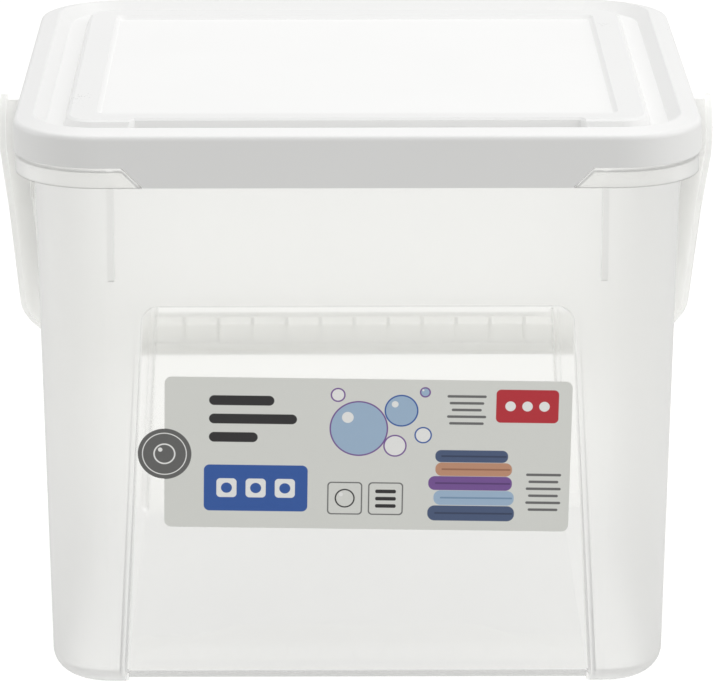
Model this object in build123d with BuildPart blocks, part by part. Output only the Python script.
from build123d import *
from math import acos, atan2, cos, degrees, hypot, radians, sin, tan
import os

# Detergent box: a see-through tapered container, a lift-off lid with a grip tab, a swinging bail
# handle and a film label. Millimetres, +Z up, front faces -Y, origin at the centre of the foot.

# Whole box, closed
lid_width = 210.0
lid_depth = 200.0
total_height = 180.0

# Lid: skirt, edge bead, channel, raised frame and sunk panel
lid_wall = 1.6
lid_corner_radius = 27.0
skirt_height = 11.0
shoulder_drop = 1.4
shoulder_radius = 1.7
bead_inset = 5.8
bead_crest = 0.6
bead_run = 3.6
channel_depth = 3.5
frame_inset_side = 16.8
frame_inset_front = 19.4
frame_forward = 1.4
frame_run = 1.4
frame_drop = 0.3
frame_corner_radius = 9.0
frame_edge_chamfer = 0.7
frame_width = 8.5
jog_side_gap = 18.2
jog_slant = 2.4
jog_depth = 1.9
panel_depth = 1.3
panel_run = 1.4
panel_corner_radius = 2.0

# Grip tab, an extension of the lid's front skirt with slanted ends
tab_drop = 6.2
tab_half_width = 64.5
tab_slant = 6.3

# Container body
wall = 1.6
floor_thickness = 1.8
rim_overhang = 6.0
body_draft = 1.15
body_corner_radius = 22.0
base_edge_radius = 8.0
base_inner_chamfer = 3.8

# Container rim: ledge, turned-down apron and raised lip
lid_seat_gap = 0.2
apron_height = 6.2
apron_wall = 1.5
apron_inset = 0.5
ledge_thickness = 1.6
lip_wall = 1.5
lip_play = 0.6
lip_head_gap = 0.4
notch_gap = 0.6

# Sunk clear panels in the front and back walls, deeper towards the foot
recess_height = 124.2
recess_half_top = 65.6
recess_half_foot = 72.2
recess_corner_radius = 5.0
recess_depth_top = 0.6
recess_depth_foot = 6.0
recess_side_angle = 8.0
recess_edge_chamfer = 0.4
recess_foot_radius = 5.0

# Floor thicker towards its middle, in a shallow four-sided rise on the inside
rise_height = 0.6
rise_width = 160.0
rise_depth = 150.0
rise_top = 44.0

# Stacking ribs below the rim, front and back
rib_spacing = 149.6
rib_width = 1.9
rib_bottom = 132.5
rib_proud = 1.2

# Handle: channel-section bail on two studs
pivot_drop = 21.7
handle_side_gap = 0.9
arm_depth = 7.9
web = 1.9
web_half = 6.6
web_edge_chamfer = 0.5
flange_half = 6.1
flange_wall = 1.5
bail_reach = 135.0
bend_radius = 38.0
eye_radius = 10.5
eye_boss_radius = 8.6
eye_taper = 38.0
grip_rib = 1.2
grip_rib_pitch = 11.8
grip_rib_count = 13
grip_rib_set_back = 0.9
handle_rest_gap = 0.35

# Pivot studs
stud_radius = 4.5
stud_boss_radius = 6.2
stud_gap = 0.3

# Label
label_height = 49.4
label_top_gap = 23.6
label_side_gap = 2.7
label_corner_radius = 2.2
label_thickness = 0.15
label_skew = -0.9
badge_radius = 8.2
badge_side_gap = 0.5
badge_rise = 0.4

# Heights and half sizes that follow from the above
half_width = lid_width / 2
half_depth = lid_depth / 2
skirt_bottom = total_height - skirt_height
shoulder_top = total_height - shoulder_drop
channel_floor = total_height - channel_depth
frame_top = total_height - frame_drop
panel_top = frame_top - panel_depth
tab_bottom = skirt_bottom - tab_drop
ledge_top = skirt_bottom - lid_seat_gap
apron_bottom = ledge_top - apron_height
mouth_half_width = half_width - rim_overhang
mouth_half_depth = half_depth - rim_overhang
draft_slope = tan(radians(body_draft))
foot_half_depth = mouth_half_depth - ledge_top * draft_slope
panel_foot_y = foot_half_depth - recess_depth_foot
panel_top_y = foot_half_depth + recess_height * draft_slope - recess_depth_top
panel_lean = atan2(panel_top_y - panel_foot_y, recess_height)
pivot_z = total_height - pivot_drop
arm_inner = half_width + handle_side_gap
arm_outer = arm_inner + arm_depth
bail_outer = bail_reach + arm_depth


def leaning_block(width, depth, radius, base, height, lean):
    """A rounded block standing on base, whose sides lean inwards by an angle as they leave it."""
    with BuildPart() as block:
        with BuildSketch(base):
            RectangleRounded(width, depth, radius)
        extrude(amount=height)
        draft(block.faces().filter_by(base, reverse=True), base, lean)
    return block.part


# Lid


def lid_form(skin):
    """The lid's upper surface as a solid, moved into the material by skin."""
    crest = total_height - skin
    block_bottom = skirt_bottom - skin
    floor = Plane.XY.offset(channel_floor - skin)
    frame_middle = Location((0, -frame_forward, 0))

    # What the bead stands round, down to the channel floor
    bead_foot = bead_inset + bead_crest + bead_run - skin
    hollow = leaning_block(
        lid_width - 2 * bead_foot,
        lid_depth - 2 * bead_foot,
        lid_corner_radius - bead_foot,
        floor,
        channel_depth,
        -degrees(atan2(bead_run, channel_depth)),
    )

    # Raised frame with leaning flanks
    frame_foot_side = frame_inset_side - frame_run + skin
    frame_foot_front = frame_inset_front - frame_run + skin
    frame_rise = channel_depth - frame_drop
    frame_block = leaning_block(
        lid_width - 2 * frame_foot_side,
        lid_depth - 2 * frame_foot_front,
        frame_corner_radius,
        floor,
        frame_rise,
        degrees(atan2(frame_run, frame_rise)),
    ).moved(frame_middle)

    # Sunk panel with leaning sides
    panel_foot = frame_width + panel_run - skin
    sunk_panel = leaning_block(
        lid_width - 2 * (frame_inset_side + panel_foot),
        lid_depth - 2 * (frame_inset_front + panel_foot),
        panel_corner_radius + skin,
        Plane.XY.offset(panel_top - skin),
        panel_depth,
        -degrees(atan2(panel_run, panel_depth)),
    ).moved(frame_middle)

    # The frame's front flank steps back along its middle
    frame_front = half_depth - frame_inset_front + frame_forward
    jog_front = frame_front + frame_run
    jog_back = frame_front - jog_depth - skin
    jog_wide = half_width - frame_inset_side - jog_side_gap + skin
    jog_narrow = jog_wide - jog_slant

    with BuildPart() as form:
        with BuildSketch(Plane.XY.offset(block_bottom)):
            RectangleRounded(lid_width - 2 * skin, lid_depth - 2 * skin, lid_corner_radius - skin)
        extrude(amount=crest - block_bottom)
        top = form.faces().sort_by(Axis.Z)[-1]
        chamfer(top.edges(), bead_inset, shoulder_drop, reference=top)
        if skin == 0:
            half_band = shoulder_drop / 4
            shoulder_edges = form.edges().filter_by_position(
                Axis.Z, shoulder_top - half_band, shoulder_top + half_band
            )
            fillet(shoulder_edges, shoulder_radius)
        add(hollow, mode=Mode.SUBTRACT)
        add(frame_block)
        with BuildSketch(floor):
            with BuildLine():
                Polyline(
                    (-jog_wide, -jog_front),
                    (jog_wide, -jog_front),
                    (jog_narrow, -jog_back),
                    (-jog_narrow, -jog_back),
                    close=True,
                )
            make_face()
        extrude(amount=channel_depth, mode=Mode.SUBTRACT)
        if skin == 0:
            half_band = frame_drop / 4
            frame_edges = form.edges().filter_by_position(Axis.Z, frame_top - half_band, frame_top + half_band)
            chamfer(frame_edges, frame_edge_chamfer)
        add(sunk_panel, mode=Mode.SUBTRACT)
    return form.part


def tab_outline(front, grow, low, high):
    """The tab's outline at a distance in front of the centre, wider by grow, between two heights."""
    slope = tab_slant / tab_drop

    def half_at(height):
        return tab_half_width + grow + (height - tab_bottom) * slope

    with BuildSketch(Plane.XZ.offset(front), mode=Mode.PRIVATE) as outline:
        with BuildLine():
            Polyline(
                (-half_at(low), low),
                (half_at(low), low),
                (half_at(high), high),
                (-half_at(high), high),
                close=True,
            )
        make_face()
    return outline.sketch


lid_outside = lid_form(0)
lid_inside = lid_form(lid_wall)
tab_face = tab_outline(half_depth, 0, tab_bottom, skirt_bottom)

with BuildPart() as lid:
    add(lid_outside)
    add(lid_inside, mode=Mode.SUBTRACT)
    extrude(tab_face, amount=-lid_wall)

lid.part.label = "lid"

# Container


def panel_plane(skin):
    """Plane of the front's sunk panel, moved into the material by skin; local y runs up the panel."""
    outward = (0, -cos(panel_lean), -sin(panel_lean))
    return Plane((0, -panel_foot_y, 0), x_dir=(1, 0, 0), z_dir=outward).offset(-skin)


def panel_half(height):
    """Half the width of the sunk panel at a height."""
    return recess_half_foot - (recess_half_foot - recess_half_top) * height / recess_height


def recess_tool(skin):
    """What the front recess takes away, grown by skin for the inside of the wall."""
    panel = panel_plane(skin)
    below = base_edge_radius
    low_half = panel_half(-below) + skin
    high_half = recess_half_top + skin
    with BuildPart() as tool:
        with BuildSketch(panel) as outline:
            with BuildLine():
                Polyline(
                    (-low_half, -below),
                    (low_half, -below),
                    (high_half, recess_height + skin),
                    (-high_half, recess_height + skin),
                    close=True,
                )
            make_face()
            fillet(outline.vertices().group_by(Axis.Y)[-1], recess_corner_radius + skin)
        extrude(amount=recess_depth_foot + 2 * wall)
        draft(tool.faces().filter_by(panel, reverse=True), panel, -recess_side_angle)
        if skin == 0:
            chamfer(tool.faces().sort_by(Axis.Y)[-1].edges(), recess_edge_chamfer)
    return tool.part


def foot_tool(skin, floor):
    """What rounds the lower edge of the front's sunk panel, where it meets floor."""
    radius = recess_foot_radius - skin
    corner_y = skin / cos(panel_lean) - panel_foot_y - floor * tan(panel_lean)
    reach = radius / tan(radians(45) + panel_lean / 2)
    inner = (corner_y + reach, floor)
    upper = (corner_y - reach * sin(panel_lean), floor + reach * cos(panel_lean))
    with BuildPart() as tool:
        with BuildSketch(Plane.YZ):
            with BuildLine():
                Polyline(
                    inner,
                    (corner_y + reach, floor - wall),
                    (upper[0] - wall, floor - wall),
                    (upper[0] - wall, upper[1]),
                    upper,
                )
                TangentArc(inner, upper, tangent=(-1, 0))
            make_face()
        extrude(amount=panel_half(2 * recess_foot_radius) + skin, both=True)
    return tool.part


def body_form(skin, floor):
    """The tapered body with its two recesses, moved inwards by skin and standing on floor."""
    front_recess = recess_tool(skin)
    front_foot = foot_tool(skin, floor)
    mouth = Plane((0, 0, ledge_top), x_dir=(1, 0, 0), z_dir=(0, 0, -1))
    block = leaning_block(
        2 * (mouth_half_width - skin),
        2 * (mouth_half_depth - skin),
        body_corner_radius - skin,
        mouth,
        ledge_top - floor,
        body_draft,
    )
    with BuildPart() as form:
        add(block)
        base_edges = form.faces().sort_by(Axis.Z)[0].edges()
        if skin == 0:
            fillet(base_edges, base_edge_radius)
        else:
            chamfer(base_edges, base_inner_chamfer)
        add(front_recess, mode=Mode.SUBTRACT)
        mirror(front_recess, about=Plane.XZ, mode=Mode.SUBTRACT)
        add(front_foot, mode=Mode.SUBTRACT)
        mirror(front_foot, about=Plane.XZ, mode=Mode.SUBTRACT)
    return form.part


body_outside = body_form(0, 0)
body_inside = body_form(wall, floor_thickness)

rim_half_width = half_width - apron_inset
rim_half_depth = half_depth - apron_inset
rim_corner_radius = lid_corner_radius - apron_inset
lip_half_width = half_width - lid_wall - lip_play
lip_half_depth = half_depth - lid_wall - lip_play
lip_corner_radius = lid_corner_radius - lid_wall - lip_play
lip_slope_drop = shoulder_drop * (bead_inset - lid_wall - lip_play) / bead_inset
lip_top = total_height - lid_wall - lip_head_gap - lip_slope_drop
ledge_bottom = ledge_top - ledge_thickness

notch_surround = tab_outline(rim_half_depth, notch_gap + apron_wall, apron_bottom, ledge_top)
notch_face = tab_outline(half_depth, notch_gap, apron_bottom, ledge_top)
notch_under = tab_outline(half_depth, notch_gap, apron_bottom, ledge_bottom)
rim_reach = half_depth - mouth_half_depth + wall

stud_root = mouth_half_width - (ledge_top - pivot_z) * draft_slope - wall / 2
stud_shoulder = arm_inner - stud_gap
stud_end = arm_outer - web - stud_gap
rib_root = mouth_half_depth - (ledge_top - rib_bottom) * draft_slope - wall / 2
rib_front = mouth_half_depth + rib_proud

with BuildPart() as container:
    # Ledge and apron
    with BuildSketch(Plane.XY.offset(apron_bottom)):
        RectangleRounded(2 * rim_half_width, 2 * rim_half_depth, rim_corner_radius)
    extrude(amount=apron_height)
    with BuildSketch(Plane.XY.offset(apron_bottom)):
        RectangleRounded(
            2 * (rim_half_width - apron_wall), 2 * (rim_half_depth - apron_wall), rim_corner_radius - apron_wall
        )
    extrude(amount=apron_height - ledge_thickness, mode=Mode.SUBTRACT)

    # Notch for the lid's tab, with walls that close the apron's ends
    extrude(notch_surround, amount=-rim_reach)
    extrude(notch_under, amount=-rim_reach, mode=Mode.SUBTRACT)
    extrude(notch_face, amount=-(lid_wall + notch_gap), mode=Mode.SUBTRACT)

    # Stacking ribs
    with BuildSketch(Plane.XY.offset(rib_bottom)):
        for side in (-1, 1):
            with Locations((0, side * (rib_root + rib_front) / 2)):
                with GridLocations(rib_spacing, 0, 2, 1):
                    Rectangle(rib_width, rib_front - rib_root)
    extrude(amount=ledge_top - rib_bottom)

    # Pivot studs on their bosses
    for side in (-1, 1):
        stud_plane = Plane((side * stud_root, 0, pivot_z), z_dir=(side, 0, 0))
        with BuildSketch(stud_plane):
            Circle(stud_boss_radius)
        extrude(amount=stud_shoulder - stud_root)
        with BuildSketch(stud_plane):
            Circle(stud_radius)
        extrude(amount=stud_end - stud_root)

    # Body and raised lip, hollowed out
    add(body_outside)
    with BuildSketch(Plane.XY.offset(ledge_bottom)):
        RectangleRounded(2 * lip_half_width, 2 * lip_half_depth, lip_corner_radius)
    extrude(amount=lip_top - ledge_bottom)
    with BuildSketch(Plane.XY.offset(ledge_top)):
        RectangleRounded(
            2 * (lip_half_width - lip_wall), 2 * (lip_half_depth - lip_wall), lip_corner_radius - lip_wall
        )
    extrude(amount=lip_top - ledge_top, mode=Mode.SUBTRACT)
    add(body_inside, mode=Mode.SUBTRACT)

    # Rise in the floor
    with BuildSketch(Plane.XY.offset(floor_thickness)):
        Rectangle(rise_width, rise_depth)
    with BuildSketch(Plane.XY.offset(floor_thickness + rise_height)):
        Rectangle(rise_top, rise_top)
    loft()

container.part.label = "container"

# Handle, hanging behind the box with its grip just off the back wall

tip_reach = hypot(bail_reach, flange_half)
tip_angle = degrees(atan2(flange_half, bail_reach))
wall_reach = (foot_half_depth + pivot_z * draft_slope) * cos(radians(body_draft)) + handle_rest_gap
hang_angle = body_draft + degrees(acos(wall_reach / tip_reach)) - tip_angle
bail_plane = Plane(
    (0, 0, pivot_z), x_dir=(1, 0, 0), z_dir=(0, sin(radians(hang_angle)), cos(radians(hang_angle)))
)


def bail_loop(inset):
    """The bail's outline in its own plane, moved inwards by inset, from the pivot line to the grip."""
    half = arm_outer - inset
    end = bail_outer - inset
    with BuildSketch(bail_plane, mode=Mode.PRIVATE) as loop:
        with BuildLine():
            Polyline((-half, 0), (half, 0), (half, end), (-half, end), close=True)
        make_face()
        fillet(loop.vertices().group_by(Axis.Y)[-1], bend_radius - inset)
    return loop.sketch


def eye_blade(plane, root_radius, tip_radius):
    """Outline that narrows from a circle about the pivot to a smaller one along the arm."""
    with BuildSketch(plane, mode=Mode.PRIVATE) as blade:
        Circle(root_radius)
        with Locations((eye_taper, 0)):
            Circle(tip_radius)
        make_hull()
    return blade.sketch


outer_loop = bail_loop(0)
web_loop = bail_loop(web)
inner_loop = bail_loop(arm_depth)
arm_direction = bail_plane.y_dir

with BuildPart() as handle:
    # Web all round, with flanges along both its edges
    extrude(outer_loop, amount=web_half, both=True)
    chamfer(handle.faces().filter_by(bail_plane).edges(), web_edge_chamfer)
    extrude(web_loop, amount=web_half, both=True, mode=Mode.SUBTRACT)
    extrude(web_loop, amount=flange_half, both=True)
    extrude(inner_loop, amount=flange_half, both=True, mode=Mode.SUBTRACT)
    extrude(web_loop, amount=flange_half - flange_wall, both=True, mode=Mode.SUBTRACT)

    # Cross ribs in the grip
    rib_depth = arm_depth - web - grip_rib_set_back
    with BuildSketch(bail_plane):
        with Locations((0, bail_outer - web - rib_depth / 2)):
            with GridLocations(grip_rib_pitch, 0, grip_rib_count, 1):
                Rectangle(grip_rib, rib_depth)
    extrude(amount=flange_half - flange_wall, both=True)

    # Eyes with blind sockets for the studs
    for side in (-1, 1):
        eye_plane = Plane((side * arm_outer, 0, pivot_z), x_dir=arm_direction, z_dir=(-side, 0, 0))
        socket_plane = eye_plane.offset(web)
        extrude(eye_blade(eye_plane, eye_radius, web_half), amount=web)
        extrude(eye_blade(socket_plane, eye_boss_radius, flange_half), amount=arm_depth - web)
        pocket = eye_blade(socket_plane, eye_boss_radius - flange_wall, flange_half - flange_wall)
        extrude(pocket, amount=arm_depth - web, mode=Mode.SUBTRACT)
        with BuildSketch(socket_plane):
            Circle(eye_boss_radius)
            Circle(stud_radius + stud_gap, mode=Mode.SUBTRACT)
        extrude(amount=arm_depth - web)

handle.part.label = "handle"

# Label on the front panel

label_plane = panel_plane(0)
label_centre_height = recess_height - label_top_gap - label_height / 2
label_left = badge_side_gap + badge_radius - panel_half(label_centre_height)
label_right = panel_half(label_centre_height) - label_side_gap
label_centre_x = (label_left + label_right) / 2

with BuildPart() as label:
    with BuildSketch(label_plane):
        with Locations(Location((label_centre_x, label_centre_height, 0), (0, 0, label_skew))):
            RectangleRounded(label_right - label_left, label_height, label_corner_radius)
        with Locations((label_left, label_centre_height + badge_rise)):
            Circle(badge_radius)
    extrude(amount=label_thickness)

label.part.label = "label"

print("handle hangs", round(hang_angle, 3), "degrees below level and swings", round(180 + 2 * hang_angle, 3))

os.makedirs("parts", exist_ok=True)
for piece in (container, lid, handle, label):
    export_step(piece.part, f"parts/{piece.part.label}.step")
